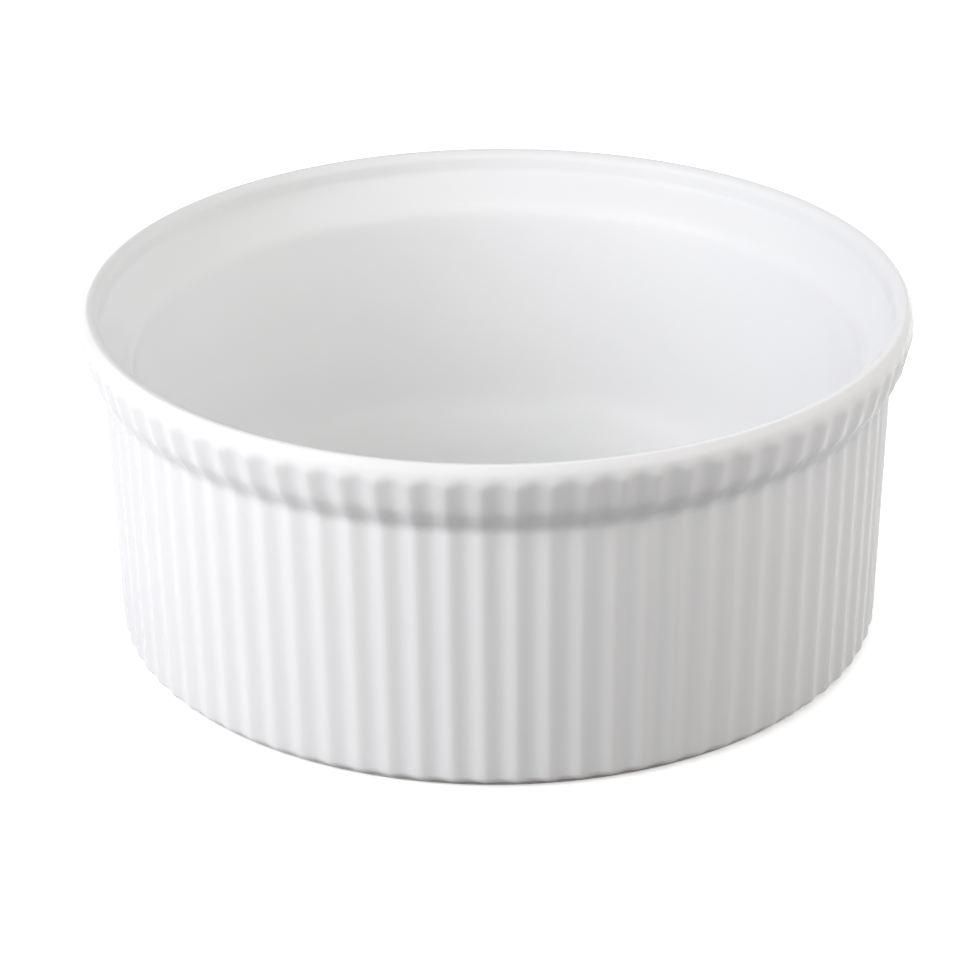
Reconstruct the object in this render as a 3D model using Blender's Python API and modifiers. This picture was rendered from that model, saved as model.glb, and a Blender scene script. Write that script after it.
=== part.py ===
"""Round fluted baking dish in white glazed porcelain.

Units are metres, +Z is up and the dish stands on z = 0 with its axis on the Z axis. The front of the
dish looks along -Y. The dish is one fired piece, modelled as its formed sections from the rim down:
a smooth lip, a fluted collar with an inner shoulder, the fluted wall with its rounded inside corner,
the flat floor, and the unglazed ring that it stands on. Sections are parted by a hairline joint.
"""

import math

import bmesh
import bpy
from mathutils import Vector

# Overall sizes
HEIGHT = 0.0840
RIM_RADIUS = 0.1000

# Lip: the smooth rounded band at the top
LIP_HEIGHT = 0.0042
LIP_WIDTH = 0.0042
LIP_ROUNDING = 0.0019
LARGEST_ROUNDING_SHARE = 0.46

# Collar: the fluted band under the lip, which stands out from the wall
COLLAR_HEIGHT = 0.0096
COLLAR_SETBACK = 0.0003
COLLAR_BELLY_DROP = 0.0030
COLLAR_TAPER = 0.0016
COLLAR_LOWER_EDGE = 0.0007
COLLAR_OVERHANG = 0.0033
SHOULDER_START_DROP = 0.0012
SHOULDER_END_RISE = 0.0012

# Wall and floor
WALL_TAPER = 0.0018
WALL_THICKNESS = 0.0060
BASE_EDGE = 0.0008
FLOOR_THICKNESS = 0.0050
INSIDE_CORNER_RADIUS = 0.0180

# Foot ring
FOOT_HEIGHT = 0.0010
FOOT_SETBACK = 0.0006
FOOT_WIDTH = 0.0070
FOOT_CHAMFER = 0.0004

# Flutes: shallow upright scallops, with a valley at the very front
FLUTE_COUNT = 80
FLUTE_DEPTH = 0.0011
COLLAR_FLUTE_DEPTH = 0.0010
VALLEY_BREADTH = 0.80

# Joints between sections, and how far a cutter runs past what it cuts
JOINT = 0.0003
CUTTER_OVERRUN = 0.0020

# Fineness of the meshes
POINTS_PER_FLUTE = 6
TURNED_STEPS = 80
CORNER_STEPS = 6
SHOULDER_STEPS = 6
LIP_CORNER_STEPS = 3
MERGE_DISTANCE = 0.00001
SHARP_EDGE_ANGLE = math.radians(40)

# Heights and radii that follow from the sizes above
LIP_BOTTOM = HEIGHT - LIP_HEIGHT
COLLAR_TOP = LIP_BOTTOM - JOINT
COLLAR_BOTTOM = LIP_BOTTOM - COLLAR_HEIGHT
COLLAR_BELLY = COLLAR_TOP - COLLAR_BELLY_DROP
COLLAR_TOP_RADIUS = RIM_RADIUS - COLLAR_SETBACK
COLLAR_FOOT_RADIUS = RIM_RADIUS - COLLAR_TAPER
MOUTH_RADIUS = RIM_RADIUS - LIP_WIDTH
WALL_TOP = COLLAR_BOTTOM - JOINT
WALL_BOTTOM = FOOT_HEIGHT + JOINT
WALL_TOP_RADIUS = COLLAR_FOOT_RADIUS - COLLAR_OVERHANG
WALL_FOOT_RADIUS = WALL_TOP_RADIUS - WALL_TAPER
WALL_LEAN = math.atan2(WALL_TAPER, WALL_TOP - WALL_BOTTOM)
INSIDE_TOP_RADIUS = WALL_TOP_RADIUS - FLUTE_DEPTH - WALL_THICKNESS
FLOOR_TOP = WALL_BOTTOM + FLOOR_THICKNESS
CORNER_CENTRE_HEIGHT = FLOOR_TOP + INSIDE_CORNER_RADIUS
CORNER_CENTRE_RADIUS = (
    INSIDE_TOP_RADIUS
    - (WALL_TOP - CORNER_CENTRE_HEIGHT) * math.tan(WALL_LEAN)
    - INSIDE_CORNER_RADIUS / math.cos(WALL_LEAN)
)
FOOT_OUTER_RADIUS = WALL_FOOT_RADIUS - FLUTE_DEPTH - BASE_EDGE - FOOT_SETBACK
FOOT_INNER_RADIUS = FOOT_OUTER_RADIUS - FOOT_WIDTH

GLAZE_COLOUR = (0.86, 0.86, 0.85)
GLAZE_ROUGHNESS = 0.22
BISQUE_COLOUR = (0.78, 0.75, 0.70)
BISQUE_ROUGHNESS = 0.85


def clear_scene():
    """Removes every object of the scene that the file opened with."""
    for thing in list(bpy.data.objects):
        bpy.data.objects.remove(thing, do_unlink=True)


def new_collection(name):
    """Makes a collection in the scene."""
    collection = bpy.data.collections.new(name)
    bpy.context.scene.collection.children.link(collection)
    return collection


def principled(name, colour, roughness):
    """Makes a material with one Principled BSDF."""
    material = bpy.data.materials.new(name)
    material.use_nodes = True
    shader = material.node_tree.nodes["Principled BSDF"]
    shader.inputs["Base Color"].default_value = (*colour, 1.0)
    shader.inputs["Roughness"].default_value = roughness
    shader.inputs["Metallic"].default_value = 0.0
    return material


def arc(centre, radius, start, end, steps):
    """Points (radius, height) on a round corner, from angle start to angle end, both ends included."""
    angles = [start + (end - start) * step / steps for step in range(steps + 1)]
    return [(centre[0] + radius * math.cos(a), centre[1] + radius * math.sin(a)) for a in angles]


def turned(name, profile, closed, collection):
    """Turns a profile of (radius, height) points about the Z axis with a Screw modifier.

    The profile runs down the outer side. A closed profile makes a ring.
    """
    mesh = bpy.data.meshes.new(name)
    shape = bmesh.new()
    points = [shape.verts.new(Vector((radius, 0.0, height))) for radius, height in profile]
    for first, second in zip(points, points[1:]):
        shape.edges.new((first, second))
    if closed:
        shape.edges.new((points[-1], points[0]))
    shape.to_mesh(mesh)
    shape.free()
    thing = bpy.data.objects.new(name, mesh)
    collection.objects.link(thing)
    screw = thing.modifiers.new("Turn", "SCREW")
    screw.axis = "Z"
    screw.angle = math.tau
    screw.steps = TURNED_STEPS
    screw.render_steps = TURNED_STEPS
    screw.use_merge_vertices = True
    screw.merge_threshold = MERGE_DISTANCE
    screw.use_smooth_shade = True
    return thing


def flute_dip(angle):
    """Share of the flute depth at an angle: 0 on a ridge, 1 in a valley.

    It is a raised cosine with one wave per flute, and VALLEY_BREADTH below 1 widens the valleys.
    """
    front = angle + math.pi / 2
    wave = (1.0 + math.cos(FLUTE_COUNT * front)) / 2.0
    return wave**VALLEY_BREADTH


def set_outline(points, height, ridge_radius, depth):
    """Moves a loop of points onto the fluted outline at a height, each along its own radius."""
    for point in points:
        angle = math.atan2(point.co.y, point.co.x)
        radius = ridge_radius - depth * flute_dip(angle)
        point.co = Vector((radius * math.cos(angle), radius * math.sin(angle), height))


def fluted(name, levels, collection):
    """Stacks fluted outlines into a solid.

    Each level is (height, ridge radius, flute depth), from the bottom up. A disc is extruded from
    level to level, and each new loop is moved onto its outline.
    """
    shape = bmesh.new()
    disc = bmesh.ops.create_circle(
        shape, cap_ends=True, radius=levels[0][1], segments=FLUTE_COUNT * POINTS_PER_FLUTE
    )
    set_outline(disc["verts"], *levels[0])
    bottom = top = shape.faces[:][0]
    for level in levels[1:]:
        raised = bmesh.ops.extrude_face_region(shape, geom=[top], use_keep_orig=True)["geom"]
        if top is not bottom:
            bmesh.ops.delete(shape, geom=[top], context="FACES_ONLY")
        top = next(part for part in raised if isinstance(part, bmesh.types.BMFace))
        set_outline(top.verts, *level)
    bmesh.ops.recalc_face_normals(shape, faces=shape.faces)
    mesh = bpy.data.meshes.new(name)
    shape.to_mesh(mesh)
    shape.free()
    thing = bpy.data.objects.new(name, mesh)
    collection.objects.link(thing)
    return thing


def cut(thing, cutter):
    """Takes the cutter's shape out of a solid."""
    cutter.hide_render = True
    cutter.display_type = "WIRE"
    boolean = thing.modifiers.new("Cut " + cutter.name, "BOOLEAN")
    boolean.operation = "DIFFERENCE"
    boolean.solver = "EXACT"
    boolean.object = cutter


def finish(thing, material):
    """Gives a section its material, smooth shading and sharp edges where it turns a corner."""
    thing.data.materials.append(material)
    thing.data.shade_smooth()
    thing.data.set_sharp_from_angle(angle=SHARP_EDGE_ANGLE)


def make_lip(collection, material):
    """The smooth lip: a ring with three rounded corners, closed below by a flat joint face."""
    rounding = min(LIP_ROUNDING, LARGEST_ROUNDING_SHARE * min(LIP_WIDTH, 2 * LIP_HEIGHT))
    crown = HEIGHT - rounding
    quarter = math.pi / 2
    profile = arc((MOUTH_RADIUS + rounding, crown), rounding, 2 * quarter, quarter, LIP_CORNER_STEPS)
    profile += arc((RIM_RADIUS - rounding, crown), rounding, quarter, 0.0, LIP_CORNER_STEPS)
    profile += [
        (RIM_RADIUS, LIP_BOTTOM + COLLAR_SETBACK),
        (COLLAR_TOP_RADIUS, LIP_BOTTOM),
        (MOUTH_RADIUS, LIP_BOTTOM),
    ]
    lip = turned("rim_lip", profile, True, collection)
    finish(lip, material)
    return lip


def make_collar(collection, cutters, material):
    """The fluted collar: ridges run from under the lip to a rounded lower edge that overhangs the wall.

    Inside, a shoulder curves in from the mouth to the inner wall: first a hollow, then a round.
    """
    levels = [
        (COLLAR_BOTTOM, COLLAR_FOOT_RADIUS - COLLAR_LOWER_EDGE, COLLAR_FLUTE_DEPTH),
        (COLLAR_BOTTOM + COLLAR_LOWER_EDGE, COLLAR_FOOT_RADIUS, COLLAR_FLUTE_DEPTH),
        (COLLAR_BELLY, COLLAR_TOP_RADIUS, COLLAR_FLUTE_DEPTH),
        (COLLAR_TOP, COLLAR_TOP_RADIUS, COLLAR_FLUTE_DEPTH),
    ]
    collar = fluted("rim_collar", levels, collection)
    cut(collar, turned("collar_bore", collar_bore(), False, cutters))
    finish(collar, material)
    return collar


def collar_bore():
    """Profile of the space inside the collar, from its top on the axis to its bottom on the axis.

    Between the mouth and the inner wall the radius follows half a cosine wave of the height.
    """
    start = COLLAR_TOP - SHOULDER_START_DROP
    end = COLLAR_BOTTOM + SHOULDER_END_RISE
    shoulder = []
    for step in range(SHOULDER_STEPS + 1):
        share = step / SHOULDER_STEPS
        ease = (1.0 - math.cos(math.pi * share)) / 2.0
        radius = MOUTH_RADIUS - (MOUTH_RADIUS - INSIDE_TOP_RADIUS) * ease
        shoulder.append((radius, start - (start - end) * share))
    above = COLLAR_TOP + CUTTER_OVERRUN
    below = COLLAR_BOTTOM - CUTTER_OVERRUN
    return [(0.0, above), (MOUTH_RADIUS, above), *shoulder, (INSIDE_TOP_RADIUS, below), (0.0, below)]


def make_wall(collection, cutters, material):
    """The fluted wall, which leans in towards the foot and carries the rounded inside corner."""
    levels = [
        (WALL_BOTTOM, WALL_FOOT_RADIUS - BASE_EDGE, FLUTE_DEPTH),
        (WALL_BOTTOM + BASE_EDGE, WALL_FOOT_RADIUS, FLUTE_DEPTH),
        (WALL_TOP, WALL_TOP_RADIUS, FLUTE_DEPTH),
    ]
    wall = fluted("fluted_wall", levels, collection)
    cut(wall, turned("wall_bore", wall_bore(), False, cutters))
    finish(wall, material)
    return wall


def wall_bore():
    """Profile of the space inside the wall: its leaning side, the round corner and a hole for the floor."""
    corner = arc(
        (CORNER_CENTRE_RADIUS, CORNER_CENTRE_HEIGHT),
        INSIDE_CORNER_RADIUS,
        -WALL_LEAN,
        -math.pi / 2,
        CORNER_STEPS,
    )
    above = WALL_TOP + CUTTER_OVERRUN
    below = WALL_BOTTOM - CUTTER_OVERRUN
    side = INSIDE_TOP_RADIUS + CUTTER_OVERRUN * math.tan(WALL_LEAN)
    return [(0.0, above), (side, above), *corner, (CORNER_CENTRE_RADIUS, below), (0.0, below)]


def make_floor(collection, material):
    """The flat floor: a disc that fills the wall's lower opening."""
    radius = CORNER_CENTRE_RADIUS - JOINT
    profile = [(0.0, FLOOR_TOP), (radius, FLOOR_TOP), (radius, WALL_BOTTOM), (0.0, WALL_BOTTOM)]
    floor = turned("dish_floor", profile, False, collection)
    finish(floor, material)
    return floor


def make_foot(collection, material):
    """The unglazed foot ring, with both lower edges broken by a chamfer."""
    profile = [
        (FOOT_INNER_RADIUS, FOOT_HEIGHT),
        (FOOT_OUTER_RADIUS, FOOT_HEIGHT),
        (FOOT_OUTER_RADIUS, FOOT_CHAMFER),
        (FOOT_OUTER_RADIUS - FOOT_CHAMFER, 0.0),
        (FOOT_INNER_RADIUS + FOOT_CHAMFER, 0.0),
        (FOOT_INNER_RADIUS, FOOT_CHAMFER),
    ]
    foot = turned("foot_ring", profile, True, collection)
    finish(foot, material)
    return foot


def main():
    """Builds the dish from the rim down."""
    clear_scene()
    dish = new_collection("baking_dish")
    cutters = new_collection("cutters")
    make_lip(dish, principled("rim_glaze", GLAZE_COLOUR, GLAZE_ROUGHNESS))
    make_collar(dish, cutters, principled("collar_glaze", GLAZE_COLOUR, GLAZE_ROUGHNESS))
    make_wall(dish, cutters, principled("wall_glaze", GLAZE_COLOUR, GLAZE_ROUGHNESS))
    make_floor(dish, principled("floor_glaze", GLAZE_COLOUR, GLAZE_ROUGHNESS))
    make_foot(dish, principled("foot_bisque", BISQUE_COLOUR, BISQUE_ROUGHNESS))


main()
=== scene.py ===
"""Looks of a round fluted baking dish in white glazed porcelain.

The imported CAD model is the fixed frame. The real dish is one fired piece, so its formed sections (lip,
collar, wall, floor and foot ring) meet here without the frame's hairline joints. Two sections share the
points of the seam between them, and each seam lies where the outline runs straight, so that the glaze
reads as one skin. Units are metres, +Z is up, and the front of the dish looks along -Y.
"""

import logging
import math
from collections.abc import Callable
from dataclasses import dataclass, field
from enum import Enum
from typing import ClassVar

import bpy
import numpy as np
from mathutils import Matrix, Vector


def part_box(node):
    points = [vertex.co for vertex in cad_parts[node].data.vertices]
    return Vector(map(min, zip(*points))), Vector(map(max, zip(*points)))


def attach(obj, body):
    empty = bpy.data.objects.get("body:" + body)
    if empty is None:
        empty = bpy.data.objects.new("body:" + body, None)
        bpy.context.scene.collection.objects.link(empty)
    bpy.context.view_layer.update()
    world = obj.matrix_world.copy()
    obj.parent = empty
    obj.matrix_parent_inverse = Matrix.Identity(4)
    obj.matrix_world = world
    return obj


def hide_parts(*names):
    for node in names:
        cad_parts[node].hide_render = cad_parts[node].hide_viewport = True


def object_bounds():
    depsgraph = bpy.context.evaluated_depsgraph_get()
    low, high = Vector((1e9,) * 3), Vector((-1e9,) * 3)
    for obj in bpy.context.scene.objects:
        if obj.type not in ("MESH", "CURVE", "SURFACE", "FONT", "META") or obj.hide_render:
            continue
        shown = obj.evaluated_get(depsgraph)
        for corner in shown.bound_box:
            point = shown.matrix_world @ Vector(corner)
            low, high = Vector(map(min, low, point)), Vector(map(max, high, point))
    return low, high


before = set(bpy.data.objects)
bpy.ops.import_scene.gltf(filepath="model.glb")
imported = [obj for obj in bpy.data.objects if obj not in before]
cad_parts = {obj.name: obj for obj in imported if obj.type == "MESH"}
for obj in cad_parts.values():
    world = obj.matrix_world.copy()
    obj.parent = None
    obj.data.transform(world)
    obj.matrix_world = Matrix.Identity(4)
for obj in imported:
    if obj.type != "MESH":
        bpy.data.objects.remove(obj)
CAD_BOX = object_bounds()

LOG = logging.getLogger("baking_dish")
BODY = "root"
MM = 0.001
TINY = 1e-9
WHITE = (1.0, 1.0, 1.0)

Colour = tuple[float, float, float]


class Ray(Enum):
    """Kinds of ray that see the white studio behind the dish and not its dimmer light."""

    CAMERA = "Is Camera Ray"
    GLOSSY = "Is Glossy Ray"
    TRANSMISSION = "Is Transmission Ray"


class Glaze(Enum):
    """Material slots of the record."""

    RIM = "rim_glaze"
    COLLAR = "collar_glaze"
    WALL = "wall_glaze"
    FLOOR = "floor_glaze"
    FOOT = "foot_bisque"


class Gather(float, Enum):
    """How much glaze gathers at a corner: 1 in a deep hollow, -1 on a bare edge. In the groove under the
    collar it also paints shade.
    """

    SHARP_EDGE = -0.4
    EDGE = -0.3
    SOFT_EDGE = -0.2
    FAINT_EDGE = -0.15
    NONE = 0.0
    FAINT_HOLLOW = 0.12
    HOLLOW = 0.3
    # Only in the groove under the collar: partly pooled glaze, partly painted shade of the collar's
    # overhang.
    DEEP_HOLLOW = 0.6


@dataclass(frozen=True)
class Corner:
    """One corner of an outline, in metres.

    Attributes:
        radius: Distance from the dish's axis.
        height: Height over the surface that the dish stands on.
        rounding: Radius of the arc that rounds the corner.
        glaze: How much glaze gathers there.
        flute: Depth of the flutes there, or None where they ease past it.
    """

    radius: float
    height: float
    rounding: float = 0.0
    glaze: Gather = Gather.NONE
    flute: float | None = 0.0


@dataclass(frozen=True)
class Outline:
    """A finished outline: one entry per row of the surface that is turned from it."""

    radius: np.ndarray
    height: np.ndarray
    glaze: np.ndarray
    flute: np.ndarray


@dataclass(frozen=True)
class Draughting:
    """Turns a few corners into a smooth outline.

    Attributes:
        arc_angle: Largest turn between two points of a rounded corner.
        longest_step: Largest distance between two points of a straight run.
        glaze_reach: Distance over which gathered glaze fades on both sides of a sharp corner.
        straight: Turn below which a corner stays a point.
    """

    arc_angle: float = math.radians(9.0)
    longest_step: float = 3.0 * MM
    glaze_reach: float = 1.1 * MM
    straight: float = math.radians(0.5)

    def round_corner(
        self, before: np.ndarray, at: np.ndarray, after: np.ndarray, rounding: float
    ) -> np.ndarray:
        """Replaces a corner by an arc that touches both of its sides.

        The arc's centre lies on the line that halves the corner. Its points are the centre plus the
        rounding times the unit vectors that turn evenly from one side's normal to the other's.

        Args:
            before: The point before the corner.
            at: The corner.
            after: The point after the corner.
            rounding: The arc's radius.

        Returns:
            Points of the arc, one per row.
        """
        into = (at - before) / np.linalg.norm(at - before)
        out = (after - at) / np.linalg.norm(after - at)
        turn = math.atan2(into[0] * out[1] - into[1] * out[0], float(into @ out))
        if rounding <= 0.0 or abs(turn) < self.straight:
            return at[None, :]
        side = math.copysign(1.0, turn)
        reach = rounding * math.tan(abs(turn) / 2)
        normal = side * np.array([-into[1], into[0]])
        centre = at - into * reach + normal * rounding
        steps = max(2, math.ceil(abs(turn) / self.arc_angle))
        angles = math.atan2(-normal[1], -normal[0]) + turn * np.linspace(0.0, 1.0, steps + 1)
        return centre + rounding * np.stack([np.cos(angles), np.sin(angles)], axis=1)

    def draw(self, corners: list[Corner], closed: bool) -> Outline:
        """Draws an outline through its corners.

        Corners become arcs, and straight runs between them get evenly spaced points. The gathered
        glaze is a sum of bells along the outline, one at each corner. The flute depth eases from one
        corner's value to the next with a smooth step.

        Args:
            corners: The corners in order.
            closed: Whether the last corner joins the first one. If not, neither of them is rounded.

        Returns:
            The outline.
        """
        places = np.array([(corner.radius, corner.height) for corner in corners])
        count = len(corners)
        arcs = [
            self.round_corner(places[index - 1], places[index], places[(index + 1) % count], corner.rounding)
            for index, corner in enumerate(corners)
        ]
        points, middles, travelled = [], [], 0.0
        for index, arc in enumerate(arcs):
            length = self.lengths(arc)[-1]
            middles.append(travelled + length / 2)
            travelled += length
            points.append(arc)
            if index == count - 1 and not closed:
                break
            start, end = arc[-1], arcs[(index + 1) % count][0]
            gap = float(np.linalg.norm(end - start))
            steps = max(1, math.ceil(gap / self.longest_step))
            shares = np.arange(1, steps)[:, None] / steps
            points.append(start + (end - start) * shares)
            travelled += gap
        line = np.concatenate(points)
        along = self.lengths(line)
        middles = np.array(middles)
        reach = np.array([max(corner.rounding, self.glaze_reach) for corner in corners])
        gathered = np.array([corner.glaze for corner in corners], dtype=float)
        away = along[:, None] - middles[None, :]
        if closed:
            away = (away + travelled / 2) % travelled - travelled / 2
        glaze = (gathered * np.exp(-((away / reach) ** 2))).sum(axis=1)
        told = [index for index, corner in enumerate(corners) if corner.flute is not None]
        depths = np.array([corners[index].flute for index in told])
        return Outline(line[:, 0], line[:, 1], glaze, self.ease(along, middles[told], depths))

    @staticmethod
    def lengths(line: np.ndarray) -> np.ndarray:
        """Distance travelled along a line at each of its points."""
        steps = np.linalg.norm(np.diff(line, axis=0), axis=1)
        return np.concatenate([[0.0], np.cumsum(steps)])

    @staticmethod
    def ease(along: np.ndarray, stops: np.ndarray, values: np.ndarray) -> np.ndarray:
        """Blends values from stop to stop with a smooth step.

        Args:
            along: Where to read.
            stops: Places of the values, in rising order.
            values: The values.

        Returns:
            The value at each place to read.
        """
        index = np.clip(np.searchsorted(stops, along) - 1, 0, len(stops) - 2)
        gap = np.maximum(stops[index + 1] - stops[index], TINY)
        share = np.clip((along - stops[index]) / gap, 0.0, 1.0)
        share = share * share * (3.0 - 2.0 * share)
        return values[index] + (values[index + 1] - values[index]) * share


@dataclass(frozen=True)
class Fluting:
    """The upright flutes round the dish, and the slight unevenness that firing leaves.

    Attributes:
        count: Flutes round the dish. A valley lies at the very front.
        valley_breadth: Below 1 it widens the valleys and narrows the ridges.
        columns_per_flute: Columns of the mesh across one flute.
        unevenness: Share by which the depth varies slowly round the dish.
        waves: What that is made of: share, waves round the dish and phase of each sine.
        warp: Largest distance by which the fired rim lies inside a true circle.
        warp_phase: Where round the dish the warp is largest.
    """

    count: int = 80
    valley_breadth: float = 0.80
    columns_per_flute: int = 12
    unevenness: float = 0.05
    waves: tuple[tuple[float, int, float], ...] = ((0.6, 3, 0.9), (0.4, 11, 2.1))
    warp: float = 0.05 * MM
    warp_phase: float = 0.7

    @property
    def columns(self) -> int:
        """Columns of the mesh round the dish."""
        return self.count * self.columns_per_flute

    def angles(self) -> np.ndarray:
        """Angles of the columns, from +X towards +Y."""
        return math.tau * np.arange(self.columns) / self.columns

    def dip(self, angles: np.ndarray) -> np.ndarray:
        """Share of the depth at an angle, 0 on a ridge and 1 in a valley: a raised cosine to a power."""
        wave = (1.0 + np.cos(self.count * (angles + math.pi / 2))) / 2.0
        return wave**self.valley_breadth

    def uneven(self, angles: np.ndarray) -> np.ndarray:
        """Factor on the depth: one plus a sum of slow sine waves round the dish."""
        swing = sum(share * np.sin(turns * angles + phase) for share, turns, phase in self.waves)
        return 1.0 + self.unevenness * swing

    def inward(self, angles: np.ndarray, share: np.ndarray) -> np.ndarray:
        """Distance that warping moves a point inwards: an oval wave that grows with the square of height."""
        return self.warp * share**2 * (1.0 + np.cos(2 * angles + self.warp_phase)) / 2.0


def grid_faces(upper: np.ndarray, lower: np.ndarray) -> list[list[int]]:
    """Four-sided faces between rows of point numbers and the rows below, wrapped round the columns."""
    beside = [np.roll(lower, -1, axis=1), np.roll(upper, -1, axis=1)]
    return np.stack([upper, lower, *beside], axis=2).reshape(-1, 4).tolist()


@dataclass(frozen=True)
class TurnedSurface:
    """Turns outlines about the Z axis into closed meshes.

    Attributes:
        fluting: The flutes.
        crease_angle: Angle between two faces from which their edge stays sharp.
        flute_pooling: How much more glaze a valley holds than a ridge.
        plain_dip: The flute's dip at which the glaze has its plain thickness.
    """

    fluting: Fluting = field(default_factory=Fluting)
    crease_angle: float = math.radians(50.0)
    flute_pooling: float = 0.34
    plain_dip: float = 0.45

    def points(self, outline: Outline, rim_height: float) -> np.ndarray:
        """Places every point of the turned surface.

        The radius is the outline's, less the flute depth there times the flute's dip at the angle,
        less the warp. The height is the outline's.

        Args:
            outline: The outline, one entry per row.
            rim_height: Height of the rim, at which the warp is whole.

        Returns:
            Array of rows by columns by three coordinates.
        """
        angles = self.fluting.angles()
        dips = self.fluting.dip(angles) * self.fluting.uneven(angles)
        radius = outline.radius[:, None] - outline.flute[:, None] * dips[None, :]
        share = np.clip(outline.height / rim_height, 0.0, 1.0)
        radius = radius - self.fluting.inward(angles[None, :], share[:, None])
        height = np.broadcast_to(outline.height[:, None], radius.shape)
        return np.stack([radius * np.cos(angles), radius * np.sin(angles), height], axis=2)

    def glaze(self, outline: Outline, full_flute: float) -> np.ndarray:
        """Thickness of the glaze at each point, from 0, bare, through 0.5 on a plain face to 1, pooled.

        Half, plus half of what the outline's corners gather, plus a share for the flutes: it thins on
        ridges and pools in valleys as far as the flutes are deep.

        Args:
            outline: The outline, one entry per row.
            full_flute: Flute depth that counts as full.

        Returns:
            Array of rows by columns.
        """
        dips = self.fluting.dip(self.fluting.angles())
        depth = np.clip(outline.flute / full_flute, 0.0, 1.0)
        fluted = self.flute_pooling * depth[:, None] * (dips[None, :] - self.plain_dip)
        # Round the groove under the collar this thickness also carries painted shade.
        return np.clip(0.5 + 0.5 * outline.glaze[:, None] + fluted, 0.0, 1.0)

    def build(
        self, name: str, outline: Outline, rim_height: float, full_flute: float, ring: bool
    ) -> bpy.types.Object:
        """Makes the closed mesh of a ring or of a disc.

        A ring's outline is a closed loop, and its last row joins its first. A disc's outline starts and
        ends on the axis, where each end becomes one pole point with a fan of triangles.

        Args:
            name: Name of the piece.
            outline: The outline. It runs down the outer side, so that faces point outwards.
            rim_height: Height of the rim, at which the warp is whole.
            full_flute: Flute depth that counts as full.
            ring: Whether the piece is a ring.

        Returns:
            The new object, linked to the scene.
        """
        grid = self.points(outline, rim_height)
        glaze = self.glaze(outline, full_flute)
        columns = self.fluting.columns
        if not ring:
            poles = np.array([[0.0, 0.0, outline.height[0]], [0.0, 0.0, outline.height[-1]]])
            pole_glaze = np.array([glaze[0, 0], glaze[-1, 0]])
            grid, glaze = grid[1:-1], glaze[1:-1]
        rows = len(grid)
        index = np.arange(rows * columns).reshape(rows, columns)
        lower = np.roll(index, -1, axis=0) if ring else index[1:]
        upper = index if ring else index[:-1]
        faces = grid_faces(upper, lower)
        places = grid.reshape(-1, 3)
        values = glaze.reshape(-1)
        if not ring:
            first, last = rows * columns, rows * columns + 1
            start, end = index[0], index[-1]
            faces += np.stack([np.full(columns, first), start, np.roll(start, -1)], axis=1).tolist()
            faces += np.stack([np.full(columns, last), np.roll(end, -1), end], axis=1).tolist()
            places = np.concatenate([places, poles])
            values = np.concatenate([values, pole_glaze])
        mesh = bpy.data.meshes.new(name)
        mesh.from_pydata(places.tolist(), [], faces)
        mesh.attributes.new("glaze", "FLOAT", "POINT").data.foreach_set("value", values.astype(np.float32))
        mesh.shade_smooth()
        mesh.set_sharp_from_angle(angle=self.crease_angle)
        piece = bpy.data.objects.new(name, mesh)
        bpy.context.scene.collection.objects.link(piece)
        return piece


def operator(operation: str, reflected: bool = False) -> Callable[["Wire", "Wire | float"], "Wire"]:
    """Makes one of a wire's operators.

    Args:
        operation: The Math node's operation.
        reflected: Whether the wire stands to the right of the operator, as in 1 - mask.

    Returns:
        The method, which adds the Math node.
    """

    def apply(wire: "Wire", other: "Wire | float") -> "Wire":
        """Adds the Math node, on both values in the order in which they are written."""
        values = (other, wire) if reflected else (wire, other)
        return wire.graph.node("ShaderNodeMath", {"operation": operation}, dict(enumerate(values)))

    return apply


class Wire:
    """A node's output socket that takes part in Python arithmetic. Each operator adds one Math node."""

    __add__, __radd__ = operator("ADD"), operator("ADD", reflected=True)
    __sub__, __rsub__ = operator("SUBTRACT"), operator("SUBTRACT", reflected=True)
    __mul__, __rmul__ = operator("MULTIPLY"), operator("MULTIPLY", reflected=True)
    __pow__, __rpow__ = operator("POWER"), operator("POWER", reflected=True)
    __gt__, __lt__ = operator("GREATER_THAN"), operator("LESS_THAN")
    larger = operator("MAXIMUM")

    def __init__(self, graph: "Graph", socket: bpy.types.NodeSocket) -> None:
        """Keeps the graph and the socket."""
        self.graph = graph
        self.socket = socket

    def clamped(self) -> "Wire":
        """This held between 0 and 1."""
        return self.graph.node("ShaderNodeClamp", {}, {"Value": self})

    def risen(self, start: float, end: float) -> "Wire":
        """0 up to start, 1 from end on, and a straight rise between them."""
        return ((self - start) * (1.0 / (end - start))).clamped()


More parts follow.
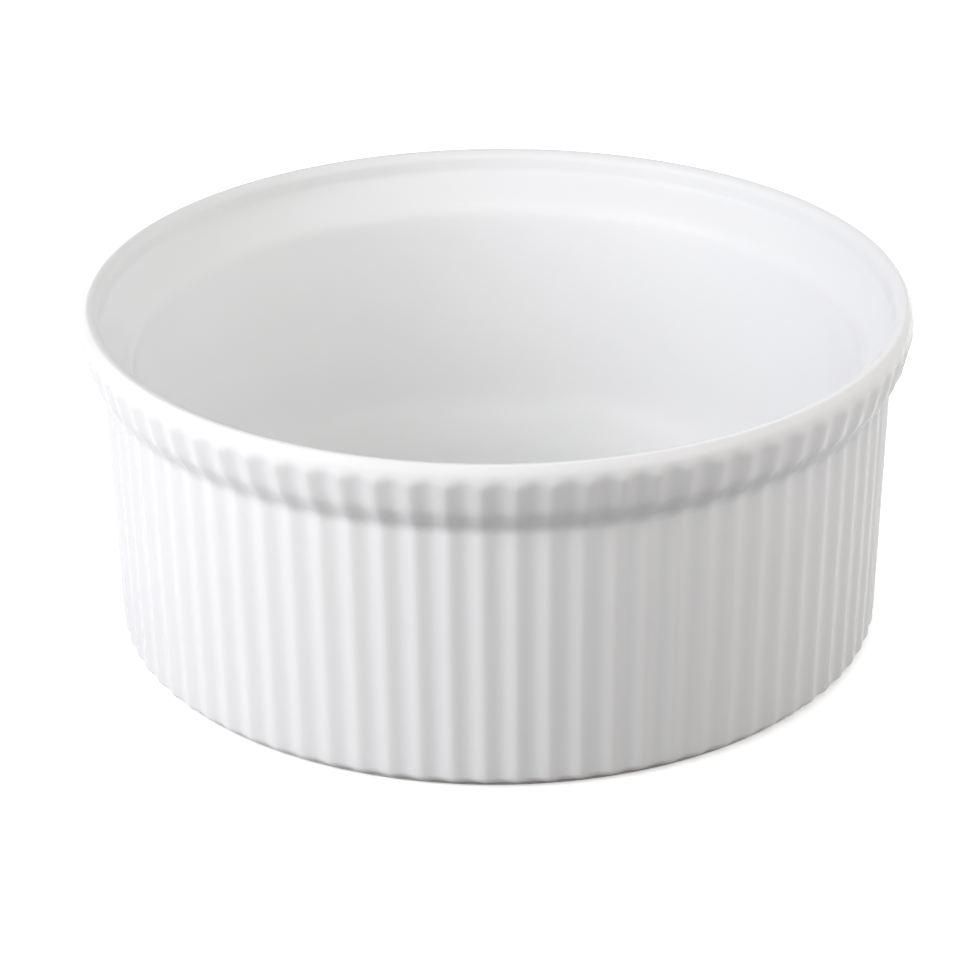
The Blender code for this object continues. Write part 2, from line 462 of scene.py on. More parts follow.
class Graph:
    """A node tree that is filled by method calls."""

    def __init__(self, tree: bpy.types.NodeTree) -> None:
        """Empties the tree and keeps it."""
        self.tree = tree
        tree.nodes.clear()

    def node(
        self,
        kind: str,
        settings: dict[str, object] | None = None,
        inputs: dict[str | int, object] | None = None,
        output: str | int = 0,
    ) -> Wire:
        """Adds a node.

        Args:
            kind: The node's type.
            settings: Properties that are set first. "stops" holds a ramp's (place, colour) pairs.
            inputs: Values or wires for the input sockets, by name or number.
            output: The output socket to return.

        Returns:
            The wire of that output, or an empty one if the node has no output.
        """
        made = self.tree.nodes.new(kind)
        for key, value in (settings or {}).items():
            if key != "stops":
                setattr(made, key, value)
                continue
            while len(made.color_ramp.elements) < len(value):
                made.color_ramp.elements.new(1.0)
            for element, (place, colour) in zip(made.color_ramp.elements, value):
                element.position = place
                element.color = (*colour, 1.0)
        for key, value in (inputs or {}).items():
            socket = made.inputs[key]
            if isinstance(value, Wire):
                self.tree.links.new(value.socket, socket)
            else:
                socket.default_value = value
        return Wire(self, made.outputs[output]) if made.outputs else Wire(self, None)

    def mixed(self, share: Wire, first: "Wire | Colour", second: "Wire | Colour") -> Wire:
        """Blends two colours.

        Args:
            share: 0 for the first colour, 1 for the second.
            first: A colour or a wire.
            second: A colour or a wire.

        Returns:
            The blended colour.
        """
        colours = [value if isinstance(value, Wire) else (*value, 1.0) for value in (first, second)]
        settings = {"data_type": "RGBA", "blend_type": "MIX"}
        # Inputs 6 and 7 and output 2 are the Mix node's sockets for colours.
        return self.node("ShaderNodeMix", settings, {0: share, 6: colours[0], 7: colours[1]}, 2)

    def noise(self, place: Wire, size: float, detail: float = 2.0, roughness: float = 0.5) -> Wire:
        """Cloudy noise around 0.5.

        Args:
            place: Coordinates in metres.
            size: Rough size of one cloud in metres.
            detail: Octaves of finer noise.
            roughness: Share of the finer noise.

        Returns:
            The noise.
        """
        values = {"Vector": place, "Scale": 1.0 / size, "Detail": detail, "Roughness": roughness}
        return self.node("ShaderNodeTexNoise", {}, values)

    def bump(self, height: Wire) -> Wire:
        """Bends the surface's normal by a height in metres, at full strength."""
        return self.node("ShaderNodeBump", {}, {"Strength": 1.0, "Distance": 1.0, "Height": height})


def new_material(name: str) -> tuple[bpy.types.Material, Graph, Wire]:
    """Starts a node material.

    Args:
        name: Name of the material.

    Returns:
        The material, its empty graph, and the object's own coordinates in metres.
    """
    material = bpy.data.materials.new(name)
    material.use_nodes = True
    graph = Graph(material.node_tree)
    return material, graph, graph.node("ShaderNodeTexCoord", output="Object")


@dataclass(frozen=True)
class PorcelainGlaze:
    """Clear glossy glaze over white porcelain.

    Attributes:
        body: Colour of the glazed face where the glaze has its plain thickness.
        bare: Colour where the glaze is thin, on ridges and on the lip's crown.
        pooled: Colour where the glaze is deep, in valleys and creases; in the groove under the collar it is
            partly painted shade.
        bare_until: Thickness of the glaze up to which it has its bare colour.
        pooled_from: Thickness from which it has its pooled colour.
        cloud_size: Size of the faint clouds in the colour.
        cloud_tint: Colour that the clouds lean to.
        cloud_share: How far they lean to it.
        cloud_start: Noise from which a cloud begins.
        cloud_gain: How steeply it sets in.
        pinhole_spacing: Size of the cells that may hold a pinhole.
        pinhole_radius: Radius of a pinhole.
        pinhole_rarity: Share of the cells that stay clean.
        pinhole_tint: Colour at the bottom of a pinhole.
        pinhole_share: How much of that colour shows.
        roughness: Roughness of the glaze's face.
        roughness_range: How far the roughness strays from cloud to cloud.
        dulling: How much rougher a bare edge is than a pool.
        patch_size: Size of the patches of slightly different gloss.
        refraction: Index of refraction of the glaze.
        ripple_size: Length of the slow waves in the glaze.
        ripple_height: Height of those waves.
        peel_size: Size of the fine dimples in the glaze.
        peel_height: Height of those dimples.
    """

    body: Colour = (0.876, 0.877, 0.878)
    bare: Colour = (0.880, 0.877, 0.872)
    # Darker and cooler than the body: pooled glaze, and in the groove under the collar also painted shade.
    pooled: Colour = (0.826, 0.834, 0.842)
    bare_until: float = 0.12
    pooled_from: float = 0.95
    cloud_size: float = 42.0 * MM
    cloud_tint: Colour = (0.858, 0.858, 0.866)
    cloud_share: float = 0.55
    cloud_start: float = 0.35
    cloud_gain: float = 2.2
    pinhole_spacing: float = 9.0 * MM
    pinhole_radius: float = 0.16 * MM
    pinhole_rarity: float = 0.86
    pinhole_tint: Colour = (0.60, 0.57, 0.53)
    pinhole_share: float = 0.6
    roughness: float = 0.19
    roughness_range: float = 0.07
    dulling: float = 0.06
    patch_size: float = 8.0 * MM
    refraction: float = 1.5
    ripple_size: float = 13.0 * MM
    ripple_height: float = 0.020 * MM
    peel_size: float = 1.3 * MM
    peel_height: float = 0.0010 * MM

    def material(self, name: str) -> bpy.types.Material:
        """Makes the glaze as a node material.

        The colour runs over the glaze's thickness from bare through body to pooled, leans to a cooler
        white in faint clouds, and has a few pinholes. Ripples and fine dimples bend the normal, and the
        roughness varies with the clouds.

        Args:
            name: Name of the material.

        Returns:
            The material.
        """
        material, graph, place = new_material(name)
        thickness = graph.node("ShaderNodeAttribute", {"attribute_name": "glaze"}, output="Fac")
        # The pooled end of the ramp also paints shade in the groove under the collar.
        stops = [(self.bare_until, self.bare), (0.5, self.body), (self.pooled_from, self.pooled)]
        tint = graph.node("ShaderNodeValToRGB", {"stops": stops}, {"Fac": thickness})
        noise = graph.noise(place, self.cloud_size, detail=3.0)
        clouds = ((noise - self.cloud_start) * self.cloud_gain).clamped()
        tint = graph.mixed(clouds * self.cloud_share, tint, self.cloud_tint)
        cells = {"Vector": place, "Scale": 1.0 / self.pinhole_spacing}
        distance = graph.node("ShaderNodeTexVoronoi", {}, cells, "Distance")
        lottery = graph.node("ShaderNodeTexVoronoi", {}, cells, "Color")
        drawn = graph.node("ShaderNodeSeparateColor", {}, {"Color": lottery}) > self.pinhole_rarity
        pinhole = drawn * (distance < self.pinhole_radius / self.pinhole_spacing)
        tint = graph.mixed(pinhole * self.pinhole_share, tint, self.pinhole_tint)
        ripple = graph.noise(place, self.ripple_size, detail=1.0) * self.ripple_height
        peel = graph.noise(place, self.peel_size) * self.peel_height
        patches = (graph.noise(place, self.patch_size, detail=3.0) - 0.5) * self.roughness_range
        values = {
            "Base Color": tint,
            "Roughness": patches + self.roughness + (0.5 - thickness) * self.dulling,
            "Normal": graph.bump(ripple + peel - pinhole * self.peel_height),
            "IOR": self.refraction,
        }
        shader = graph.node("ShaderNodeBsdfPrincipled", {}, values)
        graph.node("ShaderNodeOutputMaterial", {}, {"Surface": shader})
        return material


@dataclass(frozen=True)
class GroundBisque:
    """Unglazed porcelain that was ground flat under the foot.

    Attributes:
        clean: Colour of the bare body.
        worn: Colour where dust and shelf marks cling.
        grain_size: Size of the body's grain.
        grain_height: Height of that grain.
        grain_dust: How much dust the grain holds.
        stain_size: Size of the dusty stains.
        stain_start: Noise from which a stain begins.
        stain_gain: How steeply it sets in.
        mark_width: Distance between two grinding marks round the ring.
        mark_height: Depth of a grinding mark.
        mark_dust: How much dust a mark holds.
        wave_rings: Rings over one tau of the Wave node's place at scale 1.
        roughness: Roughness of the bare body.
        roughness_range: How far the roughness strays from grain to grain.
        specular: How much the bare body mirrors.
    """

    clean: Colour = (0.80, 0.775, 0.735)
    worn: Colour = (0.60, 0.565, 0.515)
    grain_size: float = 0.35 * MM
    grain_height: float = 0.012 * MM
    grain_dust: float = 0.8
    stain_size: float = 15.75 * MM
    stain_start: float = 0.42
    stain_gain: float = 2.4
    mark_width: float = 0.30 * MM
    mark_height: float = 0.008 * MM
    mark_dust: float = 0.25
    wave_rings: float = 20.0
    roughness: float = 0.86
    roughness_range: float = 0.12
    specular: float = 0.3

    def material(self, name: str) -> bpy.types.Material:
        """Makes the bisque as a node material.

        Grinding marks are rings round the axis. Grain and marks bend the normal, and both darken the
        colour where dust clings.

        Args:
            name: Name of the material.

        Returns:
            The material.
        """
        material, graph, place = new_material(name)
        grain = graph.noise(place, self.grain_size, detail=4.0, roughness=0.65)
        stains = graph.noise(place, self.stain_size, detail=4.0, roughness=0.6)
        scale = math.tau / self.wave_rings / self.mark_width
        rings = graph.node(
            "ShaderNodeTexWave",
            {"wave_type": "RINGS", "rings_direction": "Z", "wave_profile": "SAW"},
            {"Vector": place, "Scale": scale, "Distortion": 1.4, "Detail": 2.0},
            "Fac",
        )
        dust = (stains - self.stain_start) * self.stain_gain + (grain - 0.5) * self.grain_dust
        dust = (dust + (rings - 0.5) * self.mark_dust).clamped()
        values = {
            "Base Color": graph.mixed(dust, self.clean, self.worn),
            "Roughness": ((grain - 0.5) * self.roughness_range + self.roughness).clamped(),
            "Normal": graph.bump(grain * self.grain_height + rings * self.mark_height),
            "Specular IOR Level": self.specular,
        }
        shader = graph.node("ShaderNodeBsdfPrincipled", {}, values)
        graph.node("ShaderNodeOutputMaterial", {}, {"Surface": shader})
        return material


@dataclass(frozen=True)
class DishSizes:
    """Sizes of the dish in metres: heights and widths from the frame's boxes, and what a box can't tell.

    Attributes:
        rim_top: Height of the rim.
        rim_radius: Outer radius of the lip.
        lip_seam: Height of the seam between lip and collar.
        collar_foot: Height of the collar's lower edge.
        wall_seam: Height of the seam between collar and wall, under the groove.
        wall_top_radius: Radius of the wall's ridges under the collar.
        underside: Height of the dish's underside.
        floor_top: Height of the floor.
        floor_radius: Radius of the seam between the floor and the rounded corner.
        foot_radius: Outer radius of the foot ring.
        mouth_radius: Inner radius of the lip.
        inside_radius: Inner radius of the wall at its top.
        corner_rounding: Radius of the rounded corner inside.
        wall_taper: How much nearer to the axis the wall is at its foot.
        foot_width: Width of the foot ring.
        flute_depth: Depth of the wall's flutes.
        collar_flute_depth: Depth of the collar's flutes.
        brow_over: How far the corner between lip and collar lies outside the rim's radius before rounding.
        brow_drop: How far that corner lies under the rim.
        edge_inset: How far the corner at the collar's lower edge lies inside the rim's radius.
        edge_lift: How far that corner lies over the frame's lower edge.
        outer_seam_drop: How far under the rim the seam between lip and collar runs outside.
        wall_seam_drop: How far under the frame's wall top the seam between collar and wall runs.
    """

    rim_top: float
    rim_radius: float
    lip_seam: float
    collar_foot: float
    wall_seam: float
    wall_top_radius: float
    underside: float
    floor_top: float
    floor_radius: float
    foot_radius: float
    mouth_radius: float = 95.4 * MM
    inside_radius: float = 88.0 * MM
    corner_rounding: float = 18.0 * MM
    wall_taper: float = 1.8 * MM
    foot_width: float = 7.0 * MM
    flute_depth: float = 0.60 * MM
    collar_flute_depth: float = 0.64 * MM
    brow_over: float = 0.17 * MM
    brow_drop: float = 4.4 * MM
    edge_inset: float = 1.7 * MM
    edge_lift: float = 1.6 * MM
    outer_seam_drop: float = 5.8 * MM
    wall_seam_drop: float = 4.6 * MM

    @classmethod
    def from_frame(cls, fluting: Fluting) -> "DishSizes":
        """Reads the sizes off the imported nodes' boxes.

        A fluted node's box stops half a flute short of its ridges, so its ridge radius is the box's
        half width over the cosine of half a flute's angle.

        Args:
            fluting: The flutes.

        Returns:
            The sizes.
        """
        lip_low, lip_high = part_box("rim_lip")
        collar_low, collar_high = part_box("rim_collar")
        wall_low, wall_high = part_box("fluted_wall")
        floor_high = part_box("dish_floor")[1]
        foot_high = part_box("foot_ring")[1]
        half_flute = math.cos(math.pi / fluting.count)
        return cls(
            rim_top=lip_high.z,
            rim_radius=lip_high.x,
            lip_seam=(lip_low.z + collar_high.z) / 2,
            collar_foot=collar_low.z,
            wall_seam=wall_high.z - cls.wall_seam_drop,
            wall_top_radius=wall_high.x / half_flute,
            underside=wall_low.z,
            floor_top=floor_high.z,
            floor_radius=floor_high.x,
            foot_radius=foot_high.x,
        )

    @property
    def outer_seam(self) -> float:
        """Height of the seam between lip and collar outside."""
        return self.rim_top - self.outer_seam_drop

    @property
    def collar_edge(self) -> float:
        """Height of the corner at the collar's lower edge."""
        return self.collar_foot + self.edge_lift

    def collar_radius(self, height: float) -> float:
        """Radius of the collar's ridges: a straight line from the brow to the lower edge.

        Args:
            height: Height to read it at.

        Returns:
            The radius.
        """
        top = self.rim_top - self.brow_drop
        share = (top - height) / (top - self.collar_edge)
        return self.rim_radius + self.brow_over - (self.brow_over + self.edge_inset) * share

    def ridge_radius(self, height: float) -> float:
        """Radius of the wall's ridges at a height: a straight line from its top to its foot."""
        share = (self.collar_foot - height) / (self.collar_foot - self.underside)
        return self.wall_top_radius - self.wall_taper * share

    def inner_radius(self, height: float) -> float:
        """Radius of the inside at a height, which leans as the outside does."""
        return self.inside_radius + self.ridge_radius(height) - self.wall_top_radius


@dataclass
class Section:
    """One formed section of the dish: what all of them share.

    Attributes:
        name: Name of the piece.
        slot: The record's material slot.
        node: CAD node that it stands for.
        sizes: Sizes of the dish.
        surface: Turns the outline into a mesh.
        draughting: Turns corners into the outline.
    """

    name: ClassVar[str]
    slot: ClassVar[Glaze]
    node: ClassVar[str]
    sizes: DishSizes
    surface: TurnedSurface
    draughting: Draughting = field(default_factory=Draughting)

    def corners(self) -> list[Corner]:
        """Corners of the outline in order. Those of a disc start on the axis, those of a ring don't."""
        raise NotImplementedError

    def build(self, finish: bpy.types.Material) -> bpy.types.Object:
        """Builds the section's mesh, gives it its material and ties it to the frame.

        Args:
            finish: Its material.

        Returns:
            The piece.
        """
        name, slot, node, sizes, corners = self.name, self.slot, self.node, self.sizes, self.corners()
        ring = corners[0].radius > 0.0
        outline = self.draughting.draw(corners, closed=ring)
        piece = self.surface.build(name, outline, sizes.rim_top, sizes.flute_depth, ring)
        piece.data.materials.append(finish)
        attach(piece, BODY)
        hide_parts(node)
        LOG.info("%s: %d rows, %d faces", name, len(outline.radius), len(piece.data.polygons))
        return piece


@dataclass
class RimLip(Section):
    """The smooth rounded bead at the top of the dish, down to where the flutes have set in.

    Attributes:
        inner_rounding: Radius between the inner face and the crown.
        crown_inset: How far the crown's outer corner lies inside the rim's radius.
        crown_rounding: Radius of that corner.
        brow_inset: How far the upper corner of the brow lies inside the rim's radius.
        brow_drop: How far that corner lies under the rim.
        brow_rounding: Radius of the brow, which turns from the crown to the collar's face.
        full_drop: How far under the rim the flutes have their whole depth.
    """

    name, slot, node = "lip_glazed", Glaze.RIM, "rim_lip"
    inner_rounding: float = 2.4 * MM
    crown_inset: float = 1.75 * MM
    crown_rounding: float = 0.75 * MM
    brow_inset: float = 0.5 * MM
    brow_drop: float = 2.0 * MM
    brow_rounding: float = 4.5 * MM
    full_drop: float = 5.6 * MM

    def corners(self) -> list[Corner]:
        """Goes up the inner face, over the crown, and down the brow to the seam.

        Returns:
            The corners.
        """
        sizes = self.sizes
        outer, top, flute = sizes.rim_radius, sizes.rim_top, sizes.collar_flute_depth
        full = top - self.full_drop
        return [
            Corner(sizes.mouth_radius, sizes.lip_seam),
            Corner(sizes.mouth_radius, top, self.inner_rounding, Gather.SHARP_EDGE),
            Corner(outer - self.crown_inset, top, self.crown_rounding, Gather.EDGE),
            Corner(outer - self.brow_inset, top - self.brow_drop, self.brow_rounding, Gather.SOFT_EDGE),
            Corner(outer + sizes.brow_over, top - sizes.brow_drop, self.brow_rounding, flute=None),
            Corner(sizes.collar_radius(full), full, flute=flute),
            Corner(sizes.collar_radius(sizes.outer_seam), sizes.outer_seam, flute=flute),
        ]


@dataclass
class RimCollar(Section):
    """The fluted collar under the lip, with the shoulder inside it.

    Attributes:
        edge_rounding: Radius of the collar's lower edge.
        groove_drop: How far under the lower edge the groove's corner lies at the wall.
        groove_rounding: Radius of the groove.
        crease_drop: How far under the rim the lip's inner face turns into the shoulder.
        crease_rounding: Radius of that hollow corner.
        shoulder_drop: How far the shoulder's round corner lies under the crease.
        shoulder_rounding: Radius of that corner.
    """

    name, slot, node = "collar_glazed", Glaze.COLLAR, "rim_collar"
    edge_rounding: float = 9.0 * MM
    groove_drop: float = 5.0 * MM
    groove_rounding: float = 5.0 * MM
    crease_drop: float = 5.4 * MM
    crease_rounding: float = 2.6 * MM
    shoulder_drop: float = 7.9 * MM
    shoulder_rounding: float = 7.2 * MM

    def corners(self) -> list[Corner]:
        """Goes down the fluted face, under its edge, then up the shoulder inside.

        Returns:
            The corners.
        """
        sizes = self.sizes
        wall_seam, flute, collar_flute = sizes.wall_seam, sizes.flute_depth, sizes.collar_flute_depth
        edge = sizes.collar_edge
        groove = edge - self.groove_drop
        crease = sizes.rim_top - self.crease_drop
        shoulder = crease - self.shoulder_drop
        return [
            Corner(sizes.mouth_radius, sizes.lip_seam),
            Corner(sizes.collar_radius(sizes.outer_seam), sizes.outer_seam, flute=collar_flute),
            Corner(sizes.collar_radius(edge), edge, self.edge_rounding, Gather.EDGE, collar_flute),
            # The deep gather here darkens a wide band round the groove: partly pooled glaze, partly painted
            # shade under the collar's overhang.
            Corner(sizes.ridge_radius(groove), groove, self.groove_rounding, Gather.DEEP_HOLLOW, flute),
            Corner(sizes.ridge_radius(wall_seam), wall_seam, flute=flute),
            Corner(sizes.inner_radius(wall_seam), wall_seam),
            Corner(sizes.inside_radius, shoulder, self.shoulder_rounding, Gather.FAINT_EDGE),
            Corner(sizes.mouth_radius, crease, self.crease_rounding, Gather.HOLLOW),
        ]


@dataclass
class FlutedWall(Section):
    """The upright fluted wall with its scalloped lower edge and the rounded corner inside.

    Attributes:
        base_rounding: Radius of the lower edge.
        plain_margin: Width of the plain face between the flutes and the foot ring.
    """

    name, slot, node = "wall_glazed", Glaze.WALL, "fluted_wall"
    base_rounding: float = 2.0 * MM
    plain_margin: float = 0.2 * MM

    def corners(self) -> list[Corner]:
        """Goes down the fluted face, along the underside, then up the corner inside.

        Returns:
            The corners.
        """
        sizes = self.sizes
        seam, low, floor, flute = sizes.wall_seam, sizes.underside, sizes.floor_top, sizes.flute_depth
        return [
            Corner(sizes.inner_radius(seam), seam),
            Corner(sizes.ridge_radius(seam), seam, flute=flute),
            Corner(sizes.ridge_radius(low), low, self.base_rounding, Gather.EDGE, flute),
            Corner(sizes.foot_radius + self.plain_margin, low),
            Corner(sizes.floor_radius, low),
            Corner(sizes.floor_radius, floor),
            Corner(sizes.inner_radius(floor), floor, sizes.corner_rounding, Gather.FAINT_HOLLOW),
        ]


@dataclass
class DishFloor(Section):
    """The flat floor between the rounded corners."""

    name, slot, node = "floor_glazed", Glaze.FLOOR, "dish_floor"

    def corners(self) -> list[Corner]:
        """Goes out over the top, down the seam, and back along the underside.

        Returns:
            The corners.
        """
        sizes = self.sizes
        return [
            Corner(0.0, sizes.floor_top),
            Corner(sizes.floor_radius, sizes.floor_top),
            Corner(sizes.floor_radius, sizes.underside),
            Corner(0.0, sizes.underside),
        ]


@dataclass
class FootRing(Section):
    """The unglazed ring under the wall, ground flat where the dish stands.

    Attributes:
        edge_rounding: Radius of the ring's two lower edges.
        root_rounding: Width and radius of the flare at its inner root.
    """

    name, slot, node = "foot_ground", Glaze.FOOT, "foot_ring"
    edge_rounding: float = 0.45 * MM
    root_rounding: float = 0.4 * MM

    def corners(self) -> list[Corner]:
        """Goes down the outer side and across the ground face, and flares at the inner root.

        Returns:
            The corners.
        """
        sizes = self.sizes
        inner = sizes.foot_radius - sizes.foot_width
        return [
            Corner(sizes.foot_radius, sizes.underside),
            Corner(sizes.foot_radius, 0.0, self.edge_rounding),
            Corner(inner, 0.0, self.edge_rounding),
            Corner(inner, sizes.underside - self.root_rounding / 2, self.root_rounding),
            Corner(inner - self.root_rounding, sizes.underside),
        ]


@dataclass
class Dish:
    """The whole dish, from the rim down.

    Attributes:
        fluting: The flutes.
        glaze: Finish of the glazed sections.
        bisque: Finish of the foot ring.
    """

    fluting: Fluting = field(default_factory=Fluting)
    glaze: PorcelainGlaze = field(default_factory=PorcelainGlaze)
    bisque: GroundBisque = field(default_factory=GroundBisque)

    def build(self) -> list[bpy.types.Object]:
        """Builds every section.

        Returns:
            The pieces.
        """
        sizes = DishSizes.from_frame(self.fluting)
        surface = TurnedSurface(self.fluting)
        glaze = self.glaze.material("porcelain_glaze")
        bisque = self.bisque.material("ground_bisque")
        glazed = (RimLip, RimCollar, FlutedWall, DishFloor)
        pieces = [section(sizes, surface).build(glaze) for section in glazed]
        return [*pieces, FootRing(sizes, surface).build(bisque)]


@dataclass(frozen=True)
class SoftLamp:
    """A square area lamp that looks at the dish. Neither the camera nor the glaze's mirror sees it.

    Attributes:
        name: Name of the lamp.
        azimuth: Direction round the dish in degrees, 0 at the front and 90 at the right.
        elevation: Height above the horizon in degrees.
        distance: Distance from the dish's middle.
        size: Side of the square.
        power: Power in watts.
        colour: Colour of the light.
    """

    name: str
    azimuth: float
    elevation: float
    distance: float
    size: float
    power: float
    colour: Colour = WHITE

    def place(self, aim: Vector) -> None:
        """Puts the lamp in the scene.

        Args:
            aim: The point that it looks at.
        """
        light = bpy.data.lights.new(self.name, "AREA")
        light.shape = "SQUARE"
        light.size = self.size
        light.energy = self.power
        light.color = self.colour
        lamp = bpy.data.objects.new(self.name, light)
        lamp.visible_glossy = False
        lamp.visible_camera = False
        turn, lift = math.radians(self.azimuth), math.radians(self.elevation)
        level = math.cos(lift)
        away = Vector((math.sin(turn) * level, -math.cos(turn) * level, math.sin(lift)))
        lamp.location = aim + away * self.distance
        lamp.rotation_euler = away.to_track_quat("Z", "Y").to_euler()
        bpy.context.scene.collection.objects.link(lamp)
        LOG.info("lamp %s: %.3f W", self.name, self.power)


@dataclass(frozen=True)
class Studio:
    """A plain pale floor, soft lamps, and a white background that only camera-like rays see.

    Attributes:
        floor_colour: Colour of the floor as such rays see it.
        floor_bounce: Colour with which the floor throws light back at the dish.
        shaded_lift_near: Strength that such rays see, beside the dish, on top of the floor's own light.
        lift_far: The same strength away from the dish.
        lift_start: Radius at which the lift starts to grow.
        lift_end: Radius at which it is whole.
        horizon_start: Radius at which the floor starts to fade into the white behind it.
        horizon_end: Radius at which it is white.
        floor_reach: Radius of the floor.
        mottle_size: Size of the faint clouds on the floor.
        mottle: Factor on the floor's colour in the darkest of them.
        ambient: Strength of the light that comes from all round.
        lamps: The lamps.
    """

    floor_colour: Colour = (0.84, 0.84, 0.84)
    floor_bounce: Colour = (0.2, 0.2, 0.2)
    # Weaker beside the dish than away from it: painted shade on the floor round the dish's foot.
    shaded_lift_near: float = 0.42
    lift_far: float = 0.75
    lift_start: float = 91.0 * MM
    lift_end: float = 130.0 * MM
    horizon_start: float = 0.3
    horizon_end: float = 1.2
    floor_reach: float = 4.0
    mottle_size: float = 12.0 * MM
    mottle: float = 0.985
    ambient: float = 0.04
    lamps: tuple[SoftLamp, ...] = (
        SoftLamp("key_left", -70.0, 20.0, 1.4, 0.6, 7.07, (0.897, 0.928, 1.000)),
        SoftLamp("high_left", -60.0, 35.0, 1.4, 0.6, 6.71, (0.958, 0.926, 1.000)),
        SoftLamp("near_left", -45.0, 15.0, 0.3, 0.2, 0.177, (1.000, 0.960, 0.925)),
        SoftLamp("high_front", 0.0, 50.0, 1.4, 0.6, 3.36, (0.933, 1.000, 0.869)),
        SoftLamp("fill_right", 50.0, 20.0, 1.4, 0.6, 3.42, (1.000, 0.923, 0.977)),
        SoftLamp("near_right", 50.0, 40.0, 0.3, 0.2, 0.196, (1.000, 0.976, 0.984)),
        SoftLamp("edge_right", 90.0, 20.0, 1.4, 0.6, 1.37, (0.955, 1.000, 0.807)),
        SoftLamp("back_right", 150.0, 40.0, 0.5, 0.4, 0.76, (0.932, 0.963, 1.000)),
        SoftLamp("underside", 0.0, -90.0, 0.2, 0.15, 0.2),
    )

    @staticmethod
    def seen(graph: Graph) -> Wire:
        """1 for rays that see the white studio, and 0 for the others."""
        rays = [graph.node("ShaderNodeLightPath", output=ray.value) for ray in Ray]
        return rays[0].larger(rays[1]).larger(rays[2])

    def set_world(self) -> None:
        """Gives the world its even light, and white for the rays that see it."""
        world = bpy.data.worlds.new("studio")
        bpy.context.scene.world = world
        world.use_nodes = True
        graph = Graph(world.node_tree)
        colour = graph.mixed(self.seen(graph), (self.ambient,) * 3, WHITE)
        background = graph.node("ShaderNodeBackground", {}, {"Color": colour, "Strength": 1.0})
        graph.node("ShaderNodeOutputWorld", {}, {"Surface": background})

    def floor_material(self) -> bpy.types.Material:
        """Makes the floor's material: a matt pale face, lifted for the rays that see it, clear from below.
        The lift is weaker beside the dish, which paints shade round its foot and deepens its real shadow
        there.

        Returns:
            The material.
        """
        material, graph, place = new_material("pale_floor")
        mottle = graph.noise(place, self.mottle_size, detail=4.0)
        darker = tuple(channel * self.mottle for channel in self.floor_colour)
        shown = graph.mixed(mottle, self.floor_colour, darker)
        seen = self.seen(graph)
        colour = graph.mixed(seen, self.floor_bounce, shown)
        matt = graph.node("ShaderNodeBsdfDiffuse", {}, {"Color": colour})
        radius = graph.node("ShaderNodeVectorMath", {"operation": "LENGTH"}, {0: place}, "Value")
        # The lift grows away from the dish, so the floor beside it holds painted shade as well as its real
        # shadow.
        share = radius.risen(self.lift_start, self.lift_end) ** 0.5
        haze = radius.risen(self.horizon_start, self.horizon_end)
        lift = share * (self.lift_far - self.shaded_lift_near) + haze * (1.0 - self.lift_far) + self.shaded_lift_near
        glow = graph.node("ShaderNodeEmission", {}, {"Color": (*WHITE, 1.0), "Strength": seen * lift})
        face = graph.node("ShaderNodeAddShader", {}, {0: matt, 1: glow})
        clear = graph.node("ShaderNodeBsdfTransparent")
        below = graph.node("ShaderNodeNewGeometry", output="Backfacing")
        shader = graph.node("ShaderNodeMixShader", {}, {0: below, 1: face, 2: clear})
        graph.node("ShaderNodeOutputMaterial", {}, {"Surface": shader})
        return material

    def lay_floor(self, opening: float, columns: int = 96, rows: int = 12) -> None:
        """Lays the floor as a flat ring.

        A point lies at its column's angle, at a radius that grows from row to row by an equal factor.
        The opening stays under the foot ring, so that light reaches the underside in a view from below.

        Args:
            opening: Inner radius of the ring.
            columns: Points round the ring.
            rows: Points from its inner to its outer edge.
        """
        angles = math.tau * np.arange(columns) / columns
        radii = opening * (self.floor_reach / opening) ** (np.arange(rows) / (rows - 1))
        across, along = np.outer(radii, np.cos(angles)), np.outer(radii, np.sin(angles))
        places = np.stack([across, along, np.zeros_like(across)], axis=2).reshape(-1, 3)
        index = np.arange(rows * columns).reshape(rows, columns)
        mesh = bpy.data.meshes.new("studio_floor")
        mesh.from_pydata(places.tolist(), [], grid_faces(index[:-1], index[1:]))
        mesh.materials.append(self.floor_material())
        floor = bpy.data.objects.new("studio_floor", mesh)
        bpy.context.scene.collection.objects.link(floor)

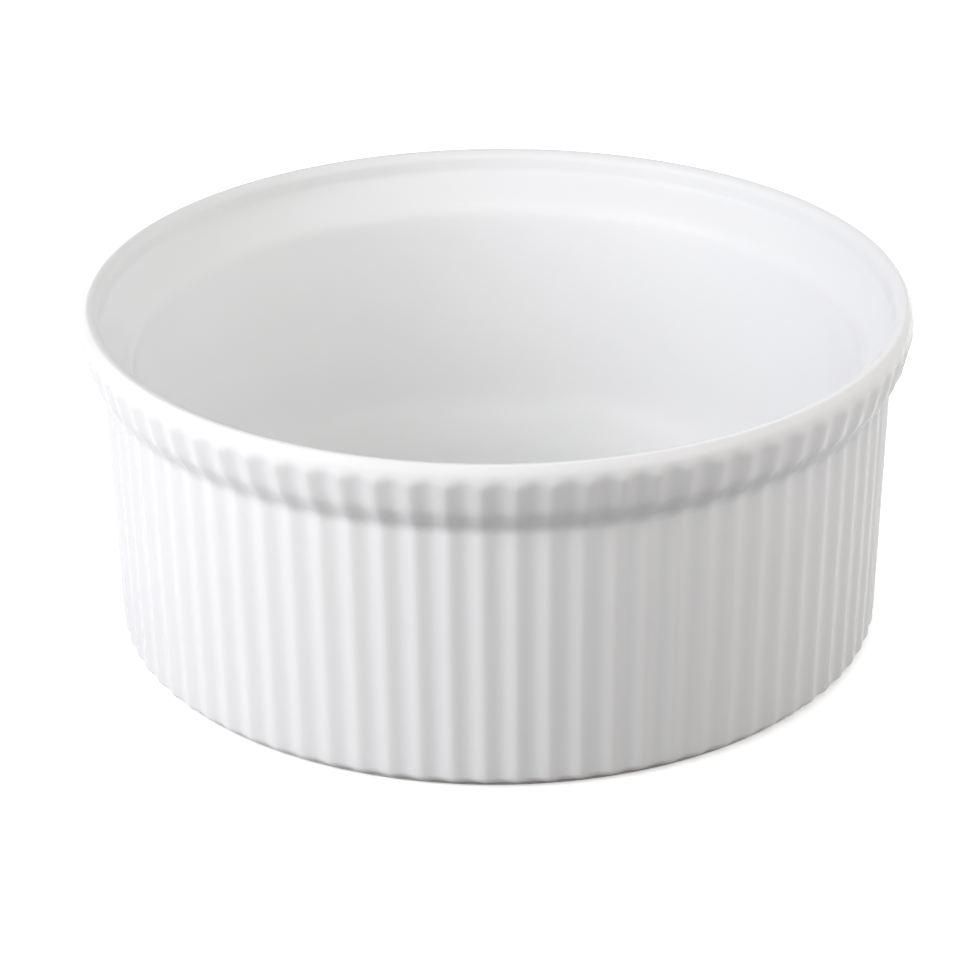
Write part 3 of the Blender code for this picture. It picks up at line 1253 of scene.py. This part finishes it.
    def build(self, aim: Vector, opening: float) -> None:
        """Sets up the world, the floor and the lamps.

        Args:
            aim: The point that the lamps look at.
            opening: Inner radius of the floor, under the foot ring.
        """
        scene = bpy.context.scene
        scene.view_settings.view_transform = "Standard"
        self.set_world()
        self.lay_floor(opening)
        for lamp in self.lamps:
            lamp.place(aim)


@dataclass(frozen=True)
class PhotoCamera:
    """The camera at the photograph's angle.

    Attributes:
        elevation: Height above the horizon.
        roll: Small turn about the line of sight.
        distance: Distance to the aim.
        aim: The point in the middle of the picture.
        focal_pixels: Focal length in pixels of the photograph.
        picture_pixels: Width of the photograph.
        sensor: Width of the sensor in millimetres.
    """

    elevation: float = math.radians(25.85)
    roll: float = -0.0085
    distance: float = 0.85
    aim: tuple[float, float, float] = (-0.00199, 0.0, 0.03061)
    focal_pixels: float = 3440.7
    picture_pixels: float = 980.0
    sensor: float = 36.0

    def build(self) -> None:
        """Makes the camera the scene's camera."""
        data = bpy.data.cameras.new("photo_camera")
        data.sensor_width = self.sensor
        data.lens = self.sensor * self.focal_pixels / self.picture_pixels
        camera = bpy.data.objects.new("photo_camera", data)
        back = Vector((0.0, -math.cos(self.elevation), math.sin(self.elevation)))
        right = Vector((1.0, 0.0, 0.0))
        up = back.cross(right)
        tilted_right = math.cos(self.roll) * right + math.sin(self.roll) * up
        tilted_up = math.cos(self.roll) * up - math.sin(self.roll) * right
        turn = Matrix((tilted_right, tilted_up, back)).transposed()
        camera.matrix_world = Matrix.Translation(Vector(self.aim) + back * self.distance) @ turn.to_4x4()
        bpy.context.scene.collection.objects.link(camera)
        bpy.context.scene.camera = camera


def main() -> None:
    """Builds the camera, the dish and the studio; the pieces and the lamps log themselves as they are made.
    """
    logging.basicConfig(level=logging.INFO, format="%(name)s: %(message)s")
    PhotoCamera().build()
    for piece in Dish().build():
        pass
    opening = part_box("foot_ring")[1].x - DishSizes.foot_width / 2
    Studio().build(Vector((0.0, 0.0, CAD_BOX[1].z / 2)), opening)


if __name__ == "__main__":
    main()
